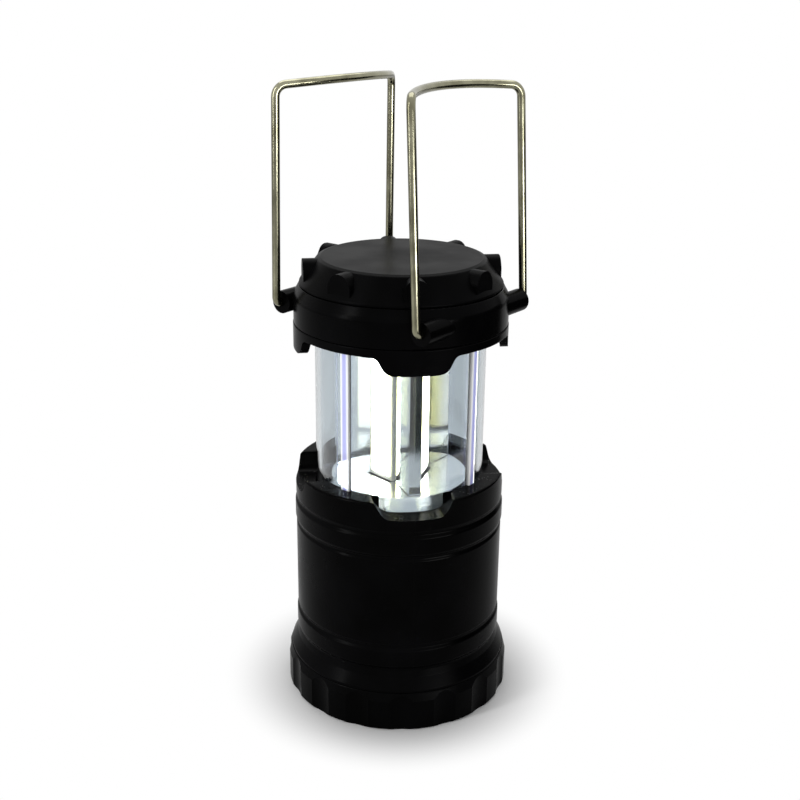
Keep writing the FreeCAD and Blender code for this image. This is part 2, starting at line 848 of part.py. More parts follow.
def make_driver_parts():
    """Driver chip, coil and capacitor on the board."""
    top = driver_high + chip_height
    near = driver_parts_circle - chip_length / 2
    chip = block(near, near + chip_length, chip_width, driver_high, top, fin_azimuths[0])
    coil = cylinder(coil_radius, driver_high, top, at(fin_azimuths[1], driver_parts_circle))
    capacitor = cylinder(capacitor_radius, driver_high, top, at(fin_azimuths[2], driver_parts_circle))
    return Part.makeCompound([chip, coil, capacitor])


def make_board_screws():
    """Three screws down through the driver board into the standoffs."""
    length = driver_thickness + driver_rise - seat_gap
    screws = [screw(at(azimuth, standoff_circle), driver_high, length, pointing_down=True)
              for azimuth in strip_azimuths]
    return Part.makeCompound(screws)


def make_top_cap():
    """Shallow cap with a flat disc, a sloping flank with eight arched lugs and a plug rim."""
    cap = turned_solid([
        (0, cap_low, 0),
        (cap_radius, cap_low, cap_edge / 2),
        (cap_radius, cap_low + cap_lip, cap_edge),
        (cap_disc_radius + cap_edge / 2, cap_high - cap_edge / 2, cap_edge),
        (cap_disc_radius - cap_edge, cap_high, cap_edge),
        (0, cap_high, 0),
    ])
    lug_top = cap_high - lug_drop
    lug = [
        (-lug_half_width, cap_low + cap_lip, 0),
        (-lug_half_width, lug_top - lug_shoulder, lug_corner),
        (-lug_crown_half_width, lug_top, lug_corner),
        (lug_crown_half_width, lug_top, lug_corner),
        (lug_half_width, lug_top - lug_shoulder, lug_corner),
        (lug_half_width, cap_low + cap_lip, 0),
    ]
    near = cap_disc_radius - lug_half_width
    lugs = [radial_prism(lug, near, lug_radius, crown_azimuth + index * FULL_TURN / lug_count)
            for index in range(lug_count)]
    cap = joined(cap, lugs)
    plug_radius = ring_bore - seat_gap
    cap = joined(cap, [cylinder(plug_radius, cap_low - cap_plug_depth, cap_low + cap_lip)])
    room = turned_solid([
        (0, cap_low - cap_plug_depth, 0),
        (plug_radius - cap_plug_wall, cap_low - cap_plug_depth, 0),
        (plug_radius - cap_plug_wall, cap_low, 0),
        (cap_disc_radius - cap_wall, cap_high - cap_wall, 0),
        (0, cap_high - cap_wall, 0),
    ])
    return cap.cut(room)


def make_handle(side, lean):
    """Bent wire: a pin, a leg, a bowed bar, a leg and a pin, leaning in by an angle."""
    outwards, along = handle_frame(side)
    middle = outwards * pivot_distance + UP * pivot_height
    tilt = math.radians(lean)
    upwards = UP * math.cos(tilt) - outwards * math.sin(tilt)
    inwards = outwards * -math.cos(tilt) - UP * math.sin(tilt)
    bow_angle = 2 * math.atan(bar_bow / (bar_half_span + bar_corner))
    bow_depth = bar_half_span * math.tan(bow_angle)
    bow = inwards * math.cos(math.radians(bar_tilt)) + upwards * math.sin(math.radians(bar_tilt))
    pin_end = boss_end - pin_length + seat_gap
    corner = upwards * handle_height
    points = [
        middle - along * pin_end,
        middle - along * leg_half_span,
        middle - along * bar_half_span + corner,
        middle + corner + bow * bow_depth,
        middle + along * bar_half_span + corner,
        middle + along * leg_half_span,
        middle + along * pin_end,
    ]
    path = rounded_wire(points, [0, hook_radius, bar_corner, None, bar_corner, hook_radius, 0])
    return tube_along(path, wire_radius, points[0], along * -1)


# Places shared by pieces that meet
thread_low = neck_low + thread_width
holder_screw_circle = (ledge_bore + neck_bore) / 2
key_circle = cell_circle + well_radius
peg_seat = plate_high - plate_thickness - peg_boss_length
post_high = plate_height_at(post_outer) - plate_thickness - seat_gap
pad_high = plate_height_at(post_inner) - plate_thickness - 2 * seat_gap
tube_flange_low = skirt_high - tube_flange_height
skirt_screw_seat = skirt_low + screw_head_height + seat_gap
skirt_screw_circle = tube_flange_radius + 2 * seat_gap + screw_head_radius + seat_gap
skirt_screw_high = skirt_screw_seat + skirt_screw_length

shapes = {
    "base_casing": make_base_casing(),
    "cover_seal": make_cover_seal(),
    "base_cover": make_base_cover(),
    "cover_screw": make_cover_screw(),
    "contact_disc": make_contact_disc(),
    "battery_holder": make_battery_holder(),
    "holder_screws": make_holder_screws(),
    "reflector_plate": make_reflector_plate(),
    "contact_strip_positive": make_contact_strip(fin_azimuths[0]),
    "contact_strip_negative": make_contact_strip(fin_azimuths[1]),
    "contact_pads": make_contact_pads(),
    "reflector_core": make_reflector_core(),
    "lens_tube": make_lens_tube(),
    "skirt_ring": make_skirt_ring(),
    "skirt_screws": make_skirt_screws(),
    "head_ring": make_head_ring(),
    "core_screws": make_core_screws(),
    "driver_board": make_driver_board(),
    "driver_parts": make_driver_parts(),
    "board_screws": make_board_screws(),
    "top_cap": make_top_cap(),
    "handle_left": make_handle(FULL_TURN / 2, lean_left),
    "handle_right": make_handle(0, lean_right),
}
for number, azimuth in enumerate(strip_azimuths, start=1):
    shapes["battery_cell_%d" % number] = make_battery_cell(azimuth)
    shapes["battery_spring_%d" % number] = make_battery_spring(azimuth)
    shapes["top_contact_%d" % number] = make_top_contact(azimuth)
    shapes["cob_board_%d" % number] = make_cob_board(azimuth)
    shapes["cob_strip_%d" % number] = make_cob_strip(azimuth)

os.makedirs("parts", exist_ok=True)
for name, shape in shapes.items():
    print(name, "solids", len(shape.Solids), "valid", shape.isValid(), "volume", round(shape.Volume, 1))
    shape.exportStep("parts/%s.step" % name)
print("casing radius", casing_radius, "cover radius", cover_radius, "rim", rim_height, "cap", cap_high)
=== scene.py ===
"""Looks of the pull-up camping lantern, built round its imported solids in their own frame, in metres.

The solids keep their shapes and get finishes. The clear tube, the wire handles and the glowing gel
of the light strips are made again as smooth surfaces that stand for their solids."""
import json
import math

import bpy
import numpy as np
from bpy.props import FloatProperty, FloatVectorProperty, IntProperty, PointerProperty
from mathutils import Matrix, Vector


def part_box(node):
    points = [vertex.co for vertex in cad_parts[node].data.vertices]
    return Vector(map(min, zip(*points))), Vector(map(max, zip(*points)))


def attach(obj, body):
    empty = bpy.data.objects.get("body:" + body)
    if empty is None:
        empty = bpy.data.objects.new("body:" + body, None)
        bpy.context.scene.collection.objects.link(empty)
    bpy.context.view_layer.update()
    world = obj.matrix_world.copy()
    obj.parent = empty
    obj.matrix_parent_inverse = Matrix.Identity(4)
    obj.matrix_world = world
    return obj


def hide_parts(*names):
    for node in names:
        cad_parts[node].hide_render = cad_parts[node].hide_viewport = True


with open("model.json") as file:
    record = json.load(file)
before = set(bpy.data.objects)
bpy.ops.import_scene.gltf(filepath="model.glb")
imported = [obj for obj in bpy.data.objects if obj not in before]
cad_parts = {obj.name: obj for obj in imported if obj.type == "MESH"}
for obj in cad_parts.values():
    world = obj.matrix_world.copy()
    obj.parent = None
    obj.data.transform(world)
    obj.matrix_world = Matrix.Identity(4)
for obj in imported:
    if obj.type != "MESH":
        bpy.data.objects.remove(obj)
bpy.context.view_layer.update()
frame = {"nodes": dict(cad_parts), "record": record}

bl_info = {
    "name": "Pull-up camping lantern",
    "version": (1, 0, 0),
    "blender": (4, 5, 0),
    "location": "3D View > Sidebar > Lantern",
    "description": "Finishes, clear tube, wire handles, lit strips and studio of a pull-up lantern",
    "category": "Object",
}

MILLIMETRE = 0.001
UP = np.array([0.0, 0.0, 1.0])
WHITE = (1.0, 1.0, 1.0, 1.0)
SHARP_EDGE = math.radians(40.0)
SENSOR_WIDTH = 36.0
FLOOR_HALF_WIDTH = 3.0
FLOOR_DROP = 0.1 * MILLIMETRE
# Place and size of each light, and the point they all face, in metres
TOP_LIGHT = (0.0, 0.35, 0.95), (0.9, 0.7)
LEFT_LIGHT = (-0.64, -0.39, 0.45), (0.1, 0.7)
RIGHT_LIGHT = (0.64, -0.74, 0.11), (0.45, 0.14)
LIGHT_TARGET = Vector((0.0, 0.0, 0.12))
HINGE = next(joint["pos_m"] for joint in frame["record"]["behaviour"]["joints"]
             if joint["name"] == "handle_right_swing")
STRIP_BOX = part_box("cob_strip_1")


def linear(hex_colour):
    """Linear colour of an sRGB hex value such as "#1a2b3c"."""
    parts = np.array([int(hex_colour[start:start + 2], 16) for start in (1, 3, 5)]) / 255.0
    return tuple(np.where(parts <= 0.04045, parts / 12.92, ((parts + 0.055) / 1.055) ** 2.4))


def length(name, description, millimetres):
    """Property that holds a length given in millimetres."""
    return FloatProperty(name=name, description=description, default=millimetres * MILLIMETRE,
                         subtype="DISTANCE", unit="LENGTH", precision=5)


def angle(name, description, degrees):
    """Property that holds an angle given in degrees."""
    return FloatProperty(name=name, description=description, default=math.radians(degrees),
                         subtype="ANGLE", unit="ROTATION")


def colour(name, description, hex_colour):
    """Property that holds a colour given as an sRGB hex value."""
    return FloatVectorProperty(name=name, description=description, default=linear(hex_colour),
                               size=3, min=0.0, max=1.0, subtype="COLOR")


class LanternTube(bpy.types.PropertyGroup):
    """Sizes of the clear tube."""
    bore: length("Bore", "Radius of the inside of the tube", 32.3)
    radius: length("Radius", "Radius of the outside of the tube", 34.3)
    lip_radius: length("Lip radius", "Radius of the stop lip at the foot", 36.7)
    lip_height: length("Lip height", "Height of the stop lip", 3.7)
    flange_radius: length("Flange radius", "Radius of the clamped flange at the top", 38.0)
    flange_height: length("Flange height", "Height of the clamped flange", 1.5)
    rib_height: length("Rib height", "How far a rib stands out of the tube", 1.6)
    rib_half_width: length("Rib half width", "Half of the width of a rib", 1.9)
    rib_edge: length("Rib edge", "Width of the rounded edge of a rib", 0.45)
    rib_azimuth: angle("Rib azimuth", "Direction of the first rib, from the front", 53.5)
    rib_count: IntProperty(name="Ribs", description="Ribs round the tube", default=4, min=1)
    steps: IntProperty(name="Steps", description="Points round the tube", default=1080, min=90)


class LanternWire(bpy.types.PropertyGroup):
    """Sizes of the wire handles."""
    radius: length("Wire radius", "Radius of the wire", 1.6)
    pivot_distance: length("Hinge distance", "Axis of the lantern to a hinge line",
                           math.hypot(HINGE[0], HINGE[1]) / MILLIMETRE)
    pivot_height: length("Hinge height", "Height of the hinge lines", HINGE[2] / MILLIMETRE)
    azimuth: angle("Azimuth", "Direction that the right handle faces, from the front",
                   math.degrees(math.atan2(HINGE[0], -HINGE[1])))
    leg_half_span: length("Leg span", "Half of the distance between the legs at the hinge", 34.94)
    bar_half_span: length("Bar span", "Half of the distance between the legs at the bar", 34.04)
    height: length("Height", "Hinge line to the corners of the bar", 82.8)
    bow: length("Bow", "How far the middle of the bar stands in from its ends", 11.45)
    bow_tilt: angle("Bow tilt", "Rise of the bowed bar towards its middle", 10.0)
    hook: length("Hook radius", "Radius of the bend between a leg and its pin", 2.6)
    corner: length("Corner radius", "Radius of the bend between a leg and the bar", 4.6)
    pin: length("Pin end", "Middle of the hinge line to the end of a pin", 23.14)
    lean_left: angle("Left lean", "How far the left handle leans in", 0.9)
    lean_right: angle("Right lean", "How far the right handle leans in", 3.2)
    bend_steps: IntProperty(name="Bend steps", description="Points along a bend", default=20, min=4)
    round_steps: IntProperty(name="Round steps", description="Points round the wire", default=32, min=8)


class LanternStrip(bpy.types.PropertyGroup):
    """Sizes of the gel on the light boards."""
    seat: length("Seat", "Axis of the lantern to the face of a board", 10.2)
    half_width: length("Half width", "Half of the width of the gel", 5.4)
    rise: length("Rise", "Height of the gel over its board", 1.2)
    low: length("Low end", "Height of the lower end of the gel", STRIP_BOX[0].z / MILLIMETRE)
    high: length("High end", "Height of the upper end of the gel", STRIP_BOX[1].z / MILLIMETRE)
    azimuth: angle("Azimuth", "Direction of the first strip, from the front", -46.5)
    count: IntProperty(name="Strips", description="Strips round the core", default=3, min=1)
    glow: FloatProperty(name="Glow", description="Strength of the light of the gel", default=12.0, min=0.0)


class LanternFinish(bpy.types.PropertyGroup):
    """Colours of the finishes, the painted glow of the tube's ribs, and the place of the parting line."""
    housing: colour("Housing", "Moulded ABS of the base, the head and the cap", "#030303")
    housing_worn: colour("Housing, worn", "ABS where it is handled", "#070708")
    dust: colour("Dust", "Dust on faces that look up", "#a5a5a2")
    parting: angle("Parting line", "Azimuth of the parting line of the base", 8.5)
    nickel: colour("Nickel", "Plating of the wire", "#94927c")
    nickel_dull: colour("Nickel, dull", "Plating where it is tarnished", "#65624e")
    mirror: colour("Mirror", "Metallised plastic of the core and the plate", "#eef0f1")
    tube: colour("Tube", "Clear polycarbonate", "#dfe6ea")
    # Painted glow of the ribs: light from the strips that the ribs guide and let out, painted as colour,
    # bluish white in the middle and white at the edges
    tube_rib_glow: colour("Tube ribs", "Middle of the ribs, which carry light up from the strips", "#b4b6f2")
    tube_rib_edge_glow: colour("Tube rib edges", "Edges of the ribs, where that light leaves them", "#ffffff")
    gel: colour("Gel", "Phosphor gel in daylight", "#f4dc5e")
    glow_middle: colour("Glow, middle", "Light from the middle of the gel", "#fffef6")
    glow_edge: colour("Glow, edge", "Light from the edge of the gel", "#faf4b0")


class LanternStage(bpy.types.PropertyGroup):
    """Camera and lights."""
    camera_distance: length("Camera distance", "Camera in front of the axis", 458.355)
    camera_height: length("Camera height", "Camera above the floor", 290.684)
    camera_pitch: angle("Camera pitch", "How far the camera looks down", 19.807)
    camera_roll: angle("Camera roll", "How far the camera is turned about its view", 0.661)
    camera_lens: FloatProperty(name="Lens", description="Focal length in millimetres on a 36 mm sensor",
                               default=53.82, unit="CAMERA")
    world_light: FloatProperty(name="World", description="Strength of the light from all round",
                               default=0.45)
    top_power: FloatProperty(name="Top light", description="Power of the soft light overhead",
                             default=4.5, unit="POWER")
    left_power: FloatProperty(name="Left light", description="Power of the tall soft light on the left",
                              default=2.2, unit="POWER")
    right_power: FloatProperty(name="Right light", description="Power of the sheen light on the right",
                               default=3.0, unit="POWER")
    flag_radius: length("Flag radius", "Axis of the lantern to the dark flag", 300.0)
    flag_low: length("Flag low height", "Height of the dark flag at its near edge", 60.0)
    flag_high: length("Flag high height", "Height of the dark flag at its far edge", 230.0)
    flag_start: angle("Flag start", "Azimuth of the near edge of the dark flag", 20.0)
    flag_step: angle("Flag step", "Azimuth where the dark flag rises", 56.0)
    flag_blend: angle("Flag blend", "Turn over which the dark flag rises", 6.0)
    flag_end: angle("Flag end", "Azimuth of the far edge of the dark flag", 125.0)
    shadow_near: length("Shadow near", "Where the floor starts to turn white", 47.0)
    shadow_far: length("Shadow far", "Where the floor is white", 76.0)


def settings():
    """Property groups of the scene."""
    return bpy.context.scene


def direction(azimuth):
    """Level unit vector at an azimuth in radians: 0 faces the front and a quarter turn faces +X."""
    return np.array([math.sin(azimuth), -math.cos(azimuth), 0.0])


def grid_piece(name, points, run, closed_rows=False):
    """Closed surface through a grid of points.

    Neighbouring points make quads. The columns join last to first; the rows do too, or else end in
    caps. Faces are turned outwards by the sign of the volume they hold. The "run" attribute keeps
    each point's place along and round the piece, in metres."""
    rows, columns = points.shape[:2]
    row = np.arange(rows if closed_rows else rows - 1)[:, None]
    column = np.arange(columns)[None, :]
    corners = [(row, column), (row, column + 1), (row + 1, column + 1), (row + 1, column)]
    faces = np.stack([(r % rows) * columns + c % columns for r, c in corners], axis=-1).reshape(-1, 4)
    vertices = points.reshape(-1, 3)
    first, second, third, fourth = (vertices - vertices.mean(axis=0))[faces.T]
    volume = np.sum(first * np.cross(second, third) + first * np.cross(third, fourth))
    caps = [] if closed_rows else [np.arange(columns)[::-1], (rows - 1) * columns + np.arange(columns)]
    if volume < 0.0:
        faces = faces[:, ::-1]
        caps = [cap[::-1] for cap in caps]
    mesh = bpy.data.meshes.new(name)
    mesh.from_pydata(vertices.tolist(), [], faces.tolist() + [cap.tolist() for cap in caps])
    held = mesh.attributes.new("run", "FLOAT_VECTOR", "POINT")
    held.data.foreach_set("vector", run.reshape(-1).astype(np.float32))
    mesh.shade_smooth()
    mesh.set_sharp_from_angle(angle=SHARP_EDGE)
    piece = bpy.data.objects.new(name, mesh)
    bpy.context.scene.collection.objects.link(piece)
    return piece


def add_node(tree, kind, inputs=None, **attributes):
    """Adds a node, sets its attributes, and fills its inputs with values or links from outputs."""
    made = tree.nodes.new(kind)
    for name, value in attributes.items():
        setattr(made, name, value)
    for name, value in (inputs or {}).items():
        if isinstance(value, bpy.types.NodeSocket):
            tree.links.new(value, made.inputs[name])
        else:
            made.inputs[name].default_value = value
    return made


def new_material(name):
    """Empty node material with its output and its shader."""
    material = bpy.data.materials.new(name)
    material.use_nodes = True
    tree = material.node_tree
    tree.nodes.clear()
    shader = add_node(tree, "ShaderNodeBsdfPrincipled")
    add_node(tree, "ShaderNodeOutputMaterial", {"Surface": shader.outputs["BSDF"]})
    return material, tree, shader


def opaque(rgb):
    """Colour with full alpha."""
    return (*rgb, 1.0)


def grains_per_metre(millimetres):
    """Texture scale that gives a feature of the given size."""
    return 1.0 / (millimetres * MILLIMETRE)


def object_noise(tree, millimetres, detail=2.0):
    """Noise in the object's own coordinates with features of a real size."""
    place = add_node(tree, "ShaderNodeTexCoord")
    return add_node(tree, "ShaderNodeTexNoise",
                    {"Vector": place.outputs["Object"], "Scale": grains_per_metre(millimetres),
                     "Detail": detail}).outputs["Fac"]


def finish_shader(tree, shader, light, dark, roughness, grain, patch, relief):
    """Gives a shader two tones in patches, roughness that follows them, and a fine relief.

    light and dark are colours, roughness a pair, grain and patch sizes in millimetres, and relief
    the depth of the grain in millimetres."""
    patches = object_noise(tree, patch, detail=4.0)
    spread = add_node(tree, "ShaderNodeMapRange", {"Value": patches, "From Min": 0.35, "From Max": 0.68})
    tones = add_node(tree, "ShaderNodeMix", {0: spread.outputs[0], 6: opaque(dark), 7: opaque(light)},
                     data_type="RGBA")
    gloss = add_node(tree, "ShaderNodeMapRange",
                     {"Value": spread.outputs[0], "To Min": roughness[0], "To Max": roughness[1]})
    bump = add_node(tree, "ShaderNodeBump",
                    {"Height": object_noise(tree, grain), "Strength": 0.6, "Distance": relief * MILLIMETRE})
    tree.links.new(tones.outputs[2], shader.inputs["Base Color"])
    tree.links.new(gloss.outputs[0], shader.inputs["Roughness"])
    tree.links.new(bump.outputs["Normal"], shader.inputs["Normal"])
    return tones


def moulded_abs(name, roughness, dusty=False):
    """Black ABS, moulded in a fine spark-eroded tool: satin, near black, with a soft sheen.

    The grain of the tool is about 0.2 mm; it is drawn at 0.5 mm so that it shows. Dust lies in
    specks of about 0.3 mm on faces that look up. A dusty piece also has the tool's parting line,
    which is about 0.1 mm wide and is drawn at 0.4 mm so that it shows."""
    material, tree, shader = new_material(name)
    finish = settings().lantern_finish
    tones = finish_shader(tree, shader, finish.housing_worn, finish.housing, roughness,
                          grain=0.5, patch=22.0, relief=0.006)
    shader.inputs["Specular IOR Level"].default_value = 0.02
    if dusty:
        place = add_node(tree, "ShaderNodeTexCoord")
        specks = add_node(tree, "ShaderNodeTexVoronoi",
                          {"Vector": place.outputs["Object"], "Scale": grains_per_metre(1.1)})
        near = add_node(tree, "ShaderNodeMapRange",
                        {"Value": specks.outputs["Distance"], "From Min": 0.22, "From Max": 0.1})
        drift = object_noise(tree, 5.0, detail=3.0)
        lying = add_node(tree, "ShaderNodeMapRange", {"Value": drift, "From Min": 0.45, "From Max": 0.7})
        facing = add_node(tree, "ShaderNodeSeparateXYZ",
                          {"Vector": add_node(tree, "ShaderNodeNewGeometry").outputs["Normal"]})
        upward = add_node(tree, "ShaderNodeMapRange",
                          {"Value": facing.outputs["Z"], "From Min": 0.8, "From Max": 0.98, "To Max": 0.6})
        first = add_node(tree, "ShaderNodeMath", {0: near.outputs[0], 1: lying.outputs[0]},
                         operation="MULTIPLY")
        cover = add_node(tree, "ShaderNodeMath", {0: first.outputs[0], 1: upward.outputs[0]},
                         operation="MULTIPLY")
        dust = add_node(tree, "ShaderNodeMix",
                        {0: cover.outputs[0], 6: tones.outputs[2], 7: opaque(finish.dust)},
                        data_type="RGBA")
        tree.links.new(dust.outputs[2], shader.inputs["Base Color"])
        across = tuple(direction(finish.parting + math.pi / 2))
        aside = add_node(tree, "ShaderNodeVectorMath", {0: place.outputs["Object"], 1: across},
                         operation="DOT_PRODUCT")
        apart = add_node(tree, "ShaderNodeMath", {0: aside.outputs["Value"]}, operation="ABSOLUTE")
        line = add_node(tree, "ShaderNodeMapRange",
                        {"Value": apart.outputs[0], "From Min": 0.2 * MILLIMETRE, "From Max": 0.0})
        ridge = add_node(tree, "ShaderNodeBump",
                         {"Height": line.outputs[0], "Distance": 0.08 * MILLIMETRE,
                          "Normal": shader.inputs["Normal"].links[0].from_socket})
        tree.links.new(ridge.outputs["Normal"], shader.inputs["Normal"])
    return material


def plain_finish(name, light, dark, roughness, grain, patch, relief, metallic=0.0):
    """Finish of an inner piece: two close tones, matching roughness and a fine relief."""
    material, tree, shader = new_material(name)
    finish_shader(tree, shader, linear(light), linear(dark), roughness, grain, patch, relief)
    shader.inputs["Metallic"].default_value = metallic
    return material


def metallised_plastic(name, roughness):
    """ABS lacquered and coated with aluminium in a vacuum: a mirror with a slow ripple and faint haze.

    The ripple of the lacquer is about 9 mm long and a few thousandths of a millimetre deep."""
    material, tree, shader = new_material(name)
    mirror = settings().lantern_finish.mirror
    haze = object_noise(tree, 6.0, detail=5.0)
    gloss = add_node(tree, "ShaderNodeMapRange",
                     {"Value": haze, "To Min": roughness[0], "To Max": roughness[1]})
    ripple = add_node(tree, "ShaderNodeBump",
                      {"Height": object_noise(tree, 9.0, detail=1.0), "Strength": 0.35,
                       "Distance": 0.05 * MILLIMETRE})
    shader.inputs["Base Color"].default_value = opaque(mirror)
    shader.inputs["Metallic"].default_value = 1.0
    tree.links.new(gloss.outputs[0], shader.inputs["Roughness"])
    tree.links.new(ripple.outputs["Normal"], shader.inputs["Normal"])
    return material


def clear_polycarbonate():
    """Injection moulded polycarbonate, polished: clear with a cool tint, faint flow lines and fine wear.

    The flow lines are about 4 mm wide and run up the tube. The ribs let less through and carry a
    painted glow, bluish white in the middle and white at the edges, for light that they guide up
    from the strips and scatter; "run" holds their share in X, and in Y the place from the middle of a
    rib to its edge."""
    material, tree, shader = new_material("clear polycarbonate")
    place = add_node(tree, "ShaderNodeTexCoord")
    stretched = add_node(tree, "ShaderNodeMapping",
                         {"Vector": place.outputs["Object"], "Scale": (1.0, 1.0, 0.08)})
    lines = add_node(tree, "ShaderNodeTexNoise",
                     {"Vector": stretched.outputs[0], "Scale": grains_per_metre(4.0), "Detail": 2.0})
    bump = add_node(tree, "ShaderNodeBump",
                    {"Height": lines.outputs["Fac"], "Strength": 0.12, "Distance": 0.04 * MILLIMETRE})
    wear = add_node(tree, "ShaderNodeMapRange",
                    {"Value": object_noise(tree, 3.0, detail=6.0), "From Min": 0.5, "From Max": 0.8,
                     "To Min": 0.01, "To Max": 0.07})
    finish = settings().lantern_finish
    run = add_node(tree, "ShaderNodeAttribute", attribute_name="run")
    rib = add_node(tree, "ShaderNodeSeparateXYZ", {"Vector": run.outputs["Vector"]})
    # Painted glow: the ribs get a bluish white colour, white at their edges, and give it off as light, for
    # the light that they carry up from the strips
    aside = add_node(tree, "ShaderNodeMapRange",
                     {"Value": rib.outputs["Y"], "From Min": 0.3, "From Max": 0.7})
    lit = add_node(tree, "ShaderNodeMix",
                   {0: aside.outputs[0], 6: opaque(finish.tube_rib_glow), 7: opaque(finish.tube_rib_edge_glow)},
                   data_type="RGBA")
    tint = add_node(tree, "ShaderNodeMix",
                    {0: rib.outputs["X"], 6: opaque(finish.tube), 7: lit.outputs[2]}, data_type="RGBA")
    clear = add_node(tree, "ShaderNodeMapRange", {"Value": rib.outputs["X"], "To Min": 1.0, "To Max": 0.35})
    # Strength of the painted glow of the ribs, up to 0.3, though the tube is no lamp
    painted_rib_glow = add_node(tree, "ShaderNodeMapRange", {"Value": rib.outputs["X"], "To Max": 0.3})
    shader.inputs["IOR"].default_value = 1.58
    tree.links.new(tint.outputs[2], shader.inputs["Base Color"])
    tree.links.new(tint.outputs[2], shader.inputs["Emission Color"])
    tree.links.new(painted_rib_glow.outputs[0], shader.inputs["Emission Strength"])
    tree.links.new(clear.outputs[0], shader.inputs["Transmission Weight"])
    tree.links.new(wear.outputs[0], shader.inputs["Roughness"])
    tree.links.new(bump.outputs["Normal"], shader.inputs["Normal"])
    return material


def drawn_wire():
    """Steel wire drawn through a die and nickel plated: warm grey, bright, with fine lines along it.

    The die lines are about 0.1 mm apart; they are drawn at 0.35 mm so that they show."""
    material, tree, shader = new_material("nickel plated wire")
    finish = settings().lantern_finish
    run = add_node(tree, "ShaderNodeAttribute", attribute_name="run")
    drawn = add_node(tree, "ShaderNodeMapping",
                     {"Vector": run.outputs["Vector"], "Scale": (0.03, 1.0, 1.0)})
    lines = add_node(tree, "ShaderNodeTexNoise",
                     {"Vector": drawn.outputs[0], "Scale": grains_per_metre(0.35), "Detail": 2.0})
    tarnish = add_node(tree, "ShaderNodeTexNoise",
                       {"Vector": run.outputs["Vector"], "Scale": grains_per_metre(9.0), "Detail": 4.0})
    spread = add_node(tree, "ShaderNodeMapRange",
                      {"Value": tarnish.outputs["Fac"], "From Min": 0.4, "From Max": 0.75})
    tones = add_node(tree, "ShaderNodeMix",
                     {0: spread.outputs[0], 6: opaque(finish.nickel), 7: opaque(finish.nickel_dull)},
                     data_type="RGBA")
    gloss = add_node(tree, "ShaderNodeMapRange",
                     {"Value": lines.outputs["Fac"], "To Min": 0.1, "To Max": 0.26})
    bump = add_node(tree, "ShaderNodeBump",
                    {"Height": lines.outputs["Fac"], "Strength": 0.25, "Distance": 0.02 * MILLIMETRE})
    shader.inputs["Metallic"].default_value = 1.0
    tree.links.new(tones.outputs[2], shader.inputs["Base Color"])
    tree.links.new(gloss.outputs[0], shader.inputs["Roughness"])
    tree.links.new(bump.outputs["Normal"], shader.inputs["Normal"])
    return material


def glowing_gel():
    """Silicone gel with yellow phosphor over a row of lit chips: white in the middle, yellow at the edge.

    The chips are about 1.3 mm apart and show as a faint beading."""
    material, tree, shader = new_material("phosphor gel, lit")
    finish = settings().lantern_finish
    strip = settings().lantern_strip
    run = add_node(tree, "ShaderNodeAttribute", attribute_name="run")
    parts = add_node(tree, "ShaderNodeSeparateXYZ", {"Vector": run.outputs["Vector"]})
    aside = add_node(tree, "ShaderNodeMath", {0: parts.outputs["Y"]}, operation="ABSOLUTE")
    edge = add_node(tree, "ShaderNodeMapRange",
                    {"Value": aside.outputs[0], "From Min": strip.half_width * 0.72,
                     "From Max": strip.half_width})
    beads = add_node(tree, "ShaderNodeTexVoronoi",
                     {"Vector": run.outputs["Vector"], "Scale": grains_per_metre(1.3)})
    glow = add_node(tree, "ShaderNodeMix",
                    {0: edge.outputs[0], 6: opaque(finish.glow_middle), 7: opaque(finish.glow_edge)},
                    data_type="RGBA")
    bump = add_node(tree, "ShaderNodeBump",
                    {"Height": beads.outputs["Distance"], "Strength": 0.2, "Distance": 0.1 * MILLIMETRE})
    shader.inputs["Base Color"].default_value = opaque(finish.gel)
    shader.inputs["Roughness"].default_value = 0.35
    shader.inputs["Emission Strength"].default_value = strip.glow
    tree.links.new(glow.outputs[2], shader.inputs["Emission Color"])
    tree.links.new(bump.outputs["Normal"], shader.inputs["Normal"])
    return material


def dress(material, *nodes):
    """Puts a material on every slot of the solids named."""
    for node in nodes:
        for slot in frame["nodes"][node].material_slots:
            slot.material = material


class LANTERN_OT_housings(bpy.types.Operator):
    """Finish the base, the cover, the head and the cap in moulded ABS"""
    bl_idname = "lantern.housings"
    bl_label = "Housings"

    def execute(self, context):
        dress(moulded_abs("black ABS, dusty", (0.19, 0.29), dusty=True), "base_casing")
        dress(moulded_abs("black ABS", (0.19, 0.29)), "base_cover", "skirt_ring", "head_ring")
        dress(moulded_abs("black ABS, matt", (0.33, 0.43)), "top_cap")
        return {"FINISHED"}


class LANTERN_OT_reflector(bpy.types.Operator):
    """Finish the core and the plate as metallised mirrors"""
    bl_idname = "lantern.reflector"
    bl_label = "Reflector"

    def execute(self, context):
        dress(metallised_plastic("vacuum metallised plastic", (0.03, 0.11)), "reflector_core")
        dress(metallised_plastic("vacuum metallised plastic, hazy", (0.1, 0.24)), "reflector_plate")
        return {"FINISHED"}


def three(name):
    """Names of three solids that are numbered from 1."""
    return tuple(name + "_" + number for number in "123")


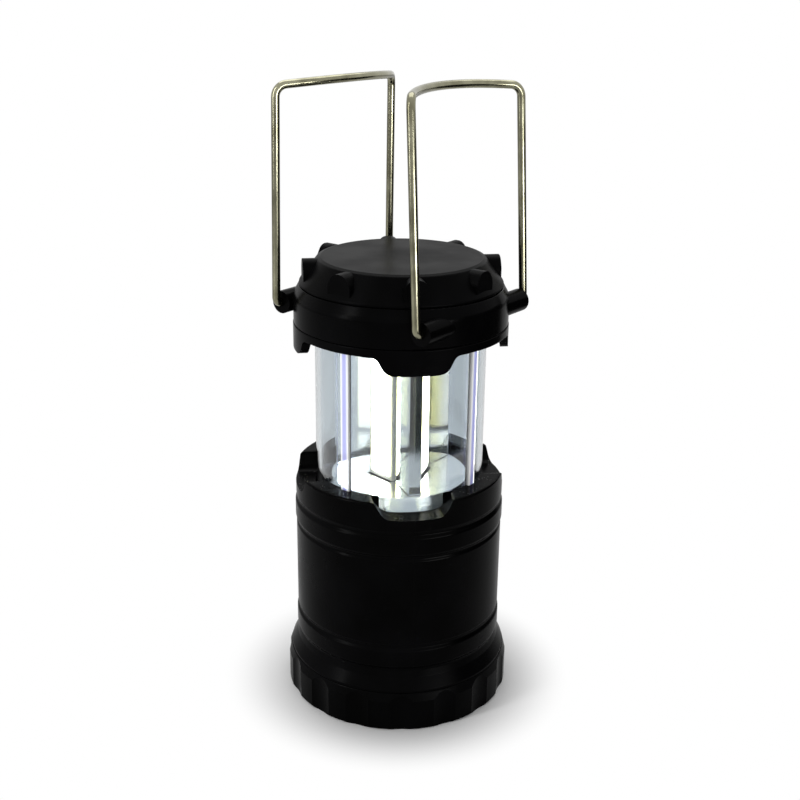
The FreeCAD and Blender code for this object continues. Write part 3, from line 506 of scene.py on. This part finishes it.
# Finishes of the inner pieces: grain, patch and relief are in millimetres
INNER_FINISHES = (
    ("glass filled nylon",
     {"light": "#232325", "dark": "#19191b", "roughness": (0.5, 0.62),
      "grain": 0.4, "patch": 12.0, "relief": 0.02},
     ("battery_holder", "contact_disc")),
    ("nitrile rubber",
     {"light": "#1d1d1e", "dark": "#141415", "roughness": (0.55, 0.7),
      "grain": 0.3, "patch": 6.0, "relief": 0.01},
     ("cover_seal",)),
    ("zinc plated steel",
     {"light": "#c3c6c9", "dark": "#a9acae", "roughness": (0.25, 0.38),
      "grain": 0.2, "patch": 2.0, "relief": 0.004, "metallic": 1.0},
     ("cover_screw", "holder_screws", "skirt_screws", "core_screws", "board_screws")),
    ("nickel plated spring steel",
     {"light": "#cfcdc6", "dark": "#b4b2aa", "roughness": (0.18, 0.3),
      "grain": 0.2, "patch": 2.0, "relief": 0.003, "metallic": 1.0},
     three("battery_spring")),
    ("rolled brass",
     {"light": "#d9b865", "dark": "#c29f4c", "roughness": (0.22, 0.36),
      "grain": 0.3, "patch": 3.0, "relief": 0.004, "metallic": 1.0},
     ("contact_strip_positive", "contact_strip_negative", "contact_pads") + three("top_contact")),
    ("printed steel can",
     {"light": "#77797d", "dark": "#686a6e", "roughness": (0.22, 0.34),
      "grain": 0.5, "patch": 14.0, "relief": 0.004, "metallic": 0.6},
     three("battery_cell")),
    ("white solder mask",
     {"light": "#eceae4", "dark": "#dedbd3", "roughness": (0.25, 0.4),
      "grain": 0.4, "patch": 5.0, "relief": 0.008},
     three("cob_board")),
    ("green solder mask",
     {"light": "#1f5a34", "dark": "#184a2a", "roughness": (0.25, 0.38),
      "grain": 0.4, "patch": 5.0, "relief": 0.008},
     ("driver_board",)),
    ("moulded epoxy",
     {"light": "#202022", "dark": "#171718", "roughness": (0.45, 0.6),
      "grain": 0.2, "patch": 2.0, "relief": 0.01},
     ("driver_parts",)),
)


class LANTERN_OT_inner_parts(bpy.types.Operator):
    """Finish the cells, contacts, boards, screws and seal inside"""
    bl_idname = "lantern.inner_parts"
    bl_label = "Inner parts"

    def execute(self, context):
        for name, values, nodes in INNER_FINISHES:
            dress(plain_finish(name, **values), *nodes)
        return {"FINISHED"}


class LANTERN_OT_clear_tube(bpy.types.Operator):
    """Make the clear tube with its ribs, lip and flange"""
    bl_idname = "lantern.clear_tube"
    bl_label = "Clear tube"

    def execute(self, context):
        tube = context.scene.lantern_tube
        low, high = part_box("lens_tube")[0].z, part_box("lens_tube")[1].z
        bevel = 0.25 * MILLIMETRE
        lip_high = low + tube.lip_height
        flange_low = high - tube.flange_height
        outline = np.array([
            (tube.bore, low + bevel), (tube.bore + bevel, low),
            (tube.lip_radius - 3 * bevel, low), (tube.lip_radius - bevel, low + bevel),
            (tube.lip_radius, low + 3 * bevel), (tube.lip_radius, lip_high - bevel),
            (tube.lip_radius - bevel, lip_high), (tube.radius + 2 * bevel, lip_high),
            (tube.radius, lip_high + 2 * bevel), (tube.radius, flange_low - 2 * bevel),
            (tube.radius + 2 * bevel, flange_low), (tube.flange_radius - bevel, flange_low),
            (tube.flange_radius, flange_low + bevel), (tube.flange_radius, high - bevel),
            (tube.flange_radius - bevel, high), (tube.bore + bevel, high), (tube.bore, high - bevel),
        ])
        turn = np.linspace(0.0, 2 * math.pi, tube.steps, endpoint=False)
        points, run = self.surface(tube, outline, turn)
        piece = grid_piece("clear_tube", points, run, closed_rows=True)
        piece.data.materials.append(clear_polycarbonate())
        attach(piece, "head")
        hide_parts("lens_tube")
        return {"FINISHED"}

    def surface(self, tube, outline, turn):
        """Outline of (radius, height) turned about the axis.

        On the outer wall the radius gains the rib height inside each rib's half width, with a
        smooth step at its edges; the distance to the nearest rib is an arc on the outer wall. The
        run holds the share of the rib, the distance from its middle over its half width, and the height."""
        pitch = 2 * math.pi / tube.rib_count
        offset = np.mod(turn - tube.rib_azimuth + pitch / 2, pitch) - pitch / 2
        aside = np.abs(offset) * tube.radius
        inside = np.clip((tube.rib_half_width - aside) / tube.rib_edge + 0.5, 0.0, 1.0)
        rib = inside * inside * (3.0 - 2.0 * inside)
        wall = np.isclose(outline[:, :1], tube.radius)
        radius = np.where(wall, tube.radius + tube.rib_height * rib, outline[:, :1])
        height = np.broadcast_to(outline[:, 1:], radius.shape)
        points = np.stack([radius * np.sin(turn), -radius * np.cos(turn), height], axis=-1)
        run = np.stack(np.broadcast_arrays(wall * rib, aside / tube.rib_half_width, height), axis=-1)
        return points, run


def rounded_run(points, reaches, steps):
    """Path through corner points whose corners are replaced by tangent arcs.

    At each corner the arc starts and ends at the given reach from it. Its centre lies on the inner
    side, at reach over the tangent of half the turn, and its points are evenly spaced in angle."""
    runs = [points[:1]]
    for before, corner, after, reach in zip(points[:-2], points[1:-1], points[2:], reaches):
        arrive = (corner - before) / np.linalg.norm(corner - before)
        leave = (after - corner) / np.linalg.norm(after - corner)
        turn = math.acos(float(np.dot(arrive, leave)))
        radius = reach / math.tan(turn / 2)
        inner = leave - arrive * math.cos(turn)
        inner = inner / np.linalg.norm(inner)
        swept = np.linspace(0.0, turn, steps)[:, None]
        start = corner - arrive * reach
        runs.append(start + radius * (np.sin(swept) * arrive + (1.0 - np.cos(swept)) * inner))
    runs.append(points[-1:])
    return np.concatenate(runs)


class LANTERN_OT_handles(bpy.types.Operator):
    """Make the two bent wire handles"""
    bl_idname = "lantern.handles"
    bl_label = "Wire handles"

    def execute(self, context):
        wire = context.scene.lantern_wire
        material = drawn_wire()
        for side, facing, lean in (("right", wire.azimuth, wire.lean_right),
                                   ("left", wire.azimuth + math.pi, wire.lean_left)):
            points, run = self.surface(wire, facing, lean)
            piece = grid_piece("wire_handle_" + side, points, run)
            piece.data.materials.append(material)
            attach(piece, "handle_" + side)
            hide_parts("handle_" + side)
        return {"FINISHED"}

    def surface(self, wire, facing, lean):
        """Circle carried along the bent path of a handle.

        The path goes from a pin up a leg, along the bowed bar and down to the other pin, in a plane
        that leans in. The circle's first direction is across the path and level with the handle."""
        outwards = direction(facing)
        along = direction(facing + math.pi / 2)
        upwards = UP * math.cos(lean) - outwards * math.sin(lean)
        inwards = -outwards * math.cos(lean) - UP * math.sin(lean)
        middle = outwards * wire.pivot_distance + UP * wire.pivot_height
        bow_angle = 2 * math.atan(wire.bow / (wire.bar_half_span + wire.corner))
        bow = inwards * math.cos(wire.bow_tilt) + upwards * math.sin(wire.bow_tilt)
        top = middle + upwards * wire.height
        half = np.array([
            middle + along * wire.pin,
            middle + along * wire.leg_half_span,
            top + along * wire.bar_half_span,
        ])
        bow_point = top + bow * (wire.bar_half_span * math.tan(bow_angle))
        mirror = np.eye(3) - 2 * np.outer(along, along)
        corners = np.concatenate([half, [bow_point], half[::-1] @ mirror])
        bends = [self.reach(corners[0:3], wire.hook), self.reach(corners[1:4], wire.corner)]
        bar_reach = np.linalg.norm(bow_point - half[2]) - bends[1]
        path = rounded_run(corners, bends + [bar_reach] + bends[::-1], wire.bend_steps)
        steps = np.linalg.norm(np.diff(path, axis=0), axis=1)
        shortest_step = 1e-7
        path = path[np.concatenate([[True], steps > shortest_step])]
        tangent = np.gradient(path, axis=0)
        tangent = tangent / np.linalg.norm(tangent, axis=1, keepdims=True)
        across = np.cross(tangent, outwards)
        across = across / np.linalg.norm(across, axis=1, keepdims=True)
        third = np.cross(tangent, across)
        turn = np.linspace(0.0, 2 * math.pi, wire.round_steps, endpoint=False)
        around = np.cos(turn)[:, None] * across[:, None] + np.sin(turn)[:, None] * third[:, None]
        points = path[:, None] + wire.radius * around
        distance = np.concatenate([[0.0], np.cumsum(np.linalg.norm(np.diff(path, axis=0), axis=1))])
        run = np.stack(np.broadcast_arrays(distance[:, None], wire.radius * np.cos(turn),
                                           wire.radius * np.sin(turn)), axis=-1)
        return points, run

    def reach(self, corners, radius):
        """Distance from a corner to where an arc of a radius touches its sides."""
        arrive = corners[1] - corners[0]
        leave = corners[2] - corners[1]
        turn = math.acos(float(np.dot(arrive, leave) / np.linalg.norm(arrive) / np.linalg.norm(leave)))
        return radius * math.tan(turn / 2)


class LANTERN_OT_light_strips(bpy.types.Operator):
    """Make the glowing gel on the light boards"""
    bl_idname = "lantern.light_strips"
    bl_label = "Light strips"

    def execute(self, context):
        strip = context.scene.lantern_strip
        material = glowing_gel()
        for index in range(strip.count):
            points, run = self.surface(strip, strip.azimuth + index * 2 * math.pi / strip.count)
            number = str(index + 1)
            piece = grid_piece("light_gel_" + number, points, run)
            piece.data.materials.append(material)
            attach(piece, "head")
            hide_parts("cob_strip_" + number)
        return {"FINISHED"}

    def surface(self, strip, azimuth):
        """Flat-backed bead of gel.

        Round the bead, the place across is the half width times a cosine and the height is the rise
        times the square root of the sine, or nothing on the back. Over the last length at each end
        the rise shrinks by the root of one minus the square of the share of the way to the end, and
        the width narrows by a small part of that."""
        rows, columns = 48, 40
        end_length = 1.2 * MILLIMETRE
        least_square = 0.05
        narrowing = 0.08
        share_up = (1.0 - np.cos(np.linspace(0.0, math.pi, rows))) / 2
        height = strip.low + (strip.high - strip.low) * share_up
        to_end = np.minimum(height - strip.low, strip.high - height)
        share_out = np.clip(1.0 - to_end / end_length, 0.0, 1.0)
        shrink = np.sqrt(np.clip(1.0 - share_out ** 2, least_square, 1.0))
        turn = np.linspace(0.0, 2 * math.pi, columns, endpoint=False)
        aside = strip.half_width * np.cos(turn)[None, :] * (1.0 - narrowing * (1.0 - shrink[:, None]))
        rise = strip.rise * np.sqrt(np.clip(np.sin(turn), 0.0, 1.0))[None, :] * shrink[:, None]
        out = direction(azimuth)
        across = direction(azimuth + math.pi / 2)
        points = ((strip.seat + rise)[..., None] * out + aside[..., None] * across
                  + (height[:, None] * np.ones(columns))[..., None] * UP)
        run = np.stack(np.broadcast_arrays(height[:, None], aside, rise), axis=-1)
        return points, run


class LANTERN_OT_stage(bpy.types.Operator):
    """Set the floor, the soft lights, the white surroundings and the camera"""
    bl_idname = "lantern.stage"
    bl_label = "Stage"

    def execute(self, context):
        stage = context.scene.lantern_stage
        context.scene.view_settings.view_transform = "Standard"
        self.floor(stage)
        self.flag(stage)
        self.surroundings(context.scene, stage.world_light)
        self.soft_light(context.scene, "top light", *TOP_LIGHT, stage.top_power)
        self.soft_light(context.scene, "left light", *LEFT_LIGHT, stage.left_power)
        sheen = self.soft_light(context.scene, "right light", *RIGHT_LIGHT, stage.right_power)
        sheen.visible_diffuse = False
        self.camera(context.scene, stage)
        return {"FINISHED"}

    def floor(self, stage):
        """Wide pale floor, white to the camera beyond the lantern's shadow."""
        signs = ((-1, -1), (1, -1), (1, 1), (-1, 1))
        corners = [(x * FLOOR_HALF_WIDTH, y * FLOOR_HALF_WIDTH, -FLOOR_DROP) for x, y in signs]
        mesh = bpy.data.meshes.new("floor")
        mesh.from_pydata(corners, [], [(0, 1, 2, 3)])
        floor = bpy.data.objects.new("floor", mesh)
        bpy.context.scene.collection.objects.link(floor)
        material, tree, shader = new_material("pale paper")
        shader.inputs["Base Color"].default_value = opaque(linear("#f2f2f2"))
        shader.inputs["Roughness"].default_value = 0.9
        shader.inputs["Specular IOR Level"].default_value = 0.0
        place = add_node(tree, "ShaderNodeTexCoord")
        away = add_node(tree, "ShaderNodeVectorMath", {0: place.outputs["Object"]}, operation="LENGTH")
        far = add_node(tree, "ShaderNodeMapRange",
                       {"Value": away.outputs["Value"], "From Min": stage.shadow_near,
                        "From Max": stage.shadow_far}, interpolation_type="SMOOTHSTEP")
        seen = add_node(tree, "ShaderNodeLightPath")
        shown = add_node(tree, "ShaderNodeMath", {0: far.outputs[0], 1: seen.outputs["Is Camera Ray"]},
                         operation="MULTIPLY")
        white = add_node(tree, "ShaderNodeEmission", {"Color": WHITE, "Strength": 1.0})
        mixed = add_node(tree, "ShaderNodeMixShader",
                         {0: shown.outputs[0], 1: shader.outputs["BSDF"], 2: white.outputs[0]})
        output = next(node for node in tree.nodes if node.type == "OUTPUT_MATERIAL")
        tree.links.new(mixed.outputs[0], output.inputs["Surface"])
        mesh.materials.append(material)

    def flag(self, stage):
        """Dark curved card on the right, as a studio's black flag, that shows in mirrors alone.

        Its points lie at one radius, evenly spaced between two azimuths, on the floor and at the top,
        which rises by a smooth step."""
        columns = 60
        turn = np.linspace(stage.flag_start, stage.flag_end, columns)
        risen = np.clip((turn - stage.flag_step) / stage.flag_blend, 0.0, 1.0)
        top = stage.flag_low + (stage.flag_high - stage.flag_low) * risen * risen * (3.0 - 2.0 * risen)
        foot = stage.flag_radius * np.stack([np.sin(turn), -np.cos(turn), np.zeros_like(turn)], axis=-1)
        column = np.arange(columns - 1)
        faces = np.stack([column, column + 1, column + 1 + columns, column + columns], axis=-1)
        mesh = bpy.data.meshes.new("flag")
        mesh.from_pydata(np.concatenate([foot, foot + top[:, None] * UP]).tolist(), [], faces.tolist())
        flag = bpy.data.objects.new("flag", mesh)
        bpy.context.scene.collection.objects.link(flag)
        material, tree, shader = new_material("black felt")
        shader.inputs["Base Color"].default_value = opaque(linear("#0c0c0c"))
        shader.inputs["Roughness"].default_value = 1.0
        seen = add_node(tree, "ShaderNodeLightPath")
        half_bounce = 0.5
        mirrored = add_node(tree, "ShaderNodeMath", {0: seen.outputs["Glossy Depth"], 1: half_bounce},
                            operation="GREATER_THAN")
        mixed = add_node(tree, "ShaderNodeMixShader",
                         {0: mirrored.outputs[0], 1: add_node(tree, "ShaderNodeBsdfTransparent").outputs[0],
                          2: shader.outputs["BSDF"]})
        output = next(node for node in tree.nodes if node.type == "OUTPUT_MATERIAL")
        tree.links.new(mixed.outputs[0], output.inputs["Surface"])
        mesh.materials.append(material)
        flag.visible_camera = False
        flag.visible_diffuse = False
        flag.visible_shadow = False

    def surroundings(self, scene, strength):
        """White to the camera, to mirrors and through glass; a plain level of light to the rest."""
        world = bpy.data.worlds.new("white studio")
        world.use_nodes = True
        tree = world.node_tree
        tree.nodes.clear()
        seen = add_node(tree, "ShaderNodeLightPath")
        first = add_node(tree, "ShaderNodeMath",
                         {0: seen.outputs["Is Camera Ray"], 1: seen.outputs["Is Glossy Ray"]},
                         operation="MAXIMUM")
        both = add_node(tree, "ShaderNodeMath",
                        {0: first.outputs[0], 1: seen.outputs["Is Transmission Ray"]}, operation="MAXIMUM")
        light = add_node(tree, "ShaderNodeBackground", {"Color": WHITE, "Strength": strength})
        white = add_node(tree, "ShaderNodeBackground", {"Color": WHITE, "Strength": 1.0})
        mixed = add_node(tree, "ShaderNodeMixShader",
                         {0: both.outputs[0], 1: light.outputs[0], 2: white.outputs[0]})
        add_node(tree, "ShaderNodeOutputWorld", {"Surface": mixed.outputs[0]})
        scene.world = world

    def soft_light(self, scene, name, place, size, power):
        """Rectangular soft light that faces the lantern."""
        lamp = bpy.data.lights.new(name, "AREA")
        lamp.shape = "RECTANGLE"
        lamp.size, lamp.size_y = size
        lamp.energy = power
        light = bpy.data.objects.new(name, lamp)
        light.location = place
        towards = LIGHT_TARGET - Vector(place)
        light.rotation_euler = towards.to_track_quat("-Z", "Y").to_euler()
        light.visible_camera = False
        scene.collection.objects.link(light)
        return light

    def camera(self, scene, stage):
        """Camera at the photograph's height, distance, pitch and roll."""
        data = bpy.data.cameras.new("camera")
        data.lens = stage.camera_lens
        data.sensor_width = SENSOR_WIDTH
        camera = bpy.data.objects.new("camera", data)
        forward = Vector((0.0, math.cos(stage.camera_pitch), -math.sin(stage.camera_pitch)))
        right = Vector((1.0, 0.0, 0.0))
        up = right.cross(forward)
        across = right * math.cos(stage.camera_roll) + up * math.sin(stage.camera_roll)
        top = up * math.cos(stage.camera_roll) - right * math.sin(stage.camera_roll)
        turn = Matrix((across, top, -forward)).transposed()
        camera.matrix_world = Matrix.LocRotScale(
            Vector((0.0, -stage.camera_distance, stage.camera_height)), turn.to_quaternion(), None)
        scene.collection.objects.link(camera)
        scene.camera = camera


PIECES = (
    LANTERN_OT_housings,
    LANTERN_OT_reflector,
    LANTERN_OT_inner_parts,
    LANTERN_OT_clear_tube,
    LANTERN_OT_handles,
    LANTERN_OT_light_strips,
    LANTERN_OT_stage,
)
GROUPS = {
    "lantern_tube": LanternTube,
    "lantern_wire": LanternWire,
    "lantern_strip": LanternStrip,
    "lantern_finish": LanternFinish,
    "lantern_stage": LanternStage,
}


class LANTERN_PT_sidebar(bpy.types.Panel):
    """Sizes, colours and pieces of the lantern"""
    bl_idname = "LANTERN_PT_sidebar"
    bl_label = "Lantern"
    bl_space_type = "VIEW_3D"
    bl_region_type = "UI"
    bl_category = "Lantern"

    def draw(self, context):
        for operator in PIECES:
            self.layout.operator(operator.bl_idname)
        for group, kind in GROUPS.items():
            box = self.layout.box()
            for name in kind.__annotations__:
                box.prop(getattr(context.scene, group), name)


def register():
    """Registers the property groups, the operators and the panel."""
    for group, kind in GROUPS.items():
        bpy.utils.register_class(kind)
        setattr(bpy.types.Scene, group, PointerProperty(type=kind))
    for kind in PIECES + (LANTERN_PT_sidebar,):
        bpy.utils.register_class(kind)


def unregister():
    """Takes away what register adds."""
    for kind in (LANTERN_PT_sidebar,) + PIECES[::-1]:
        bpy.utils.unregister_class(kind)
    for group, kind in GROUPS.items():
        delattr(bpy.types.Scene, group)
        bpy.utils.unregister_class(kind)


def main():
    """Makes every piece and the stage."""
    register()
    for operator in PIECES:
        group, name = operator.bl_idname.split(".")
        getattr(getattr(bpy.ops, group), name)()


if __name__ == "__main__":
    main()
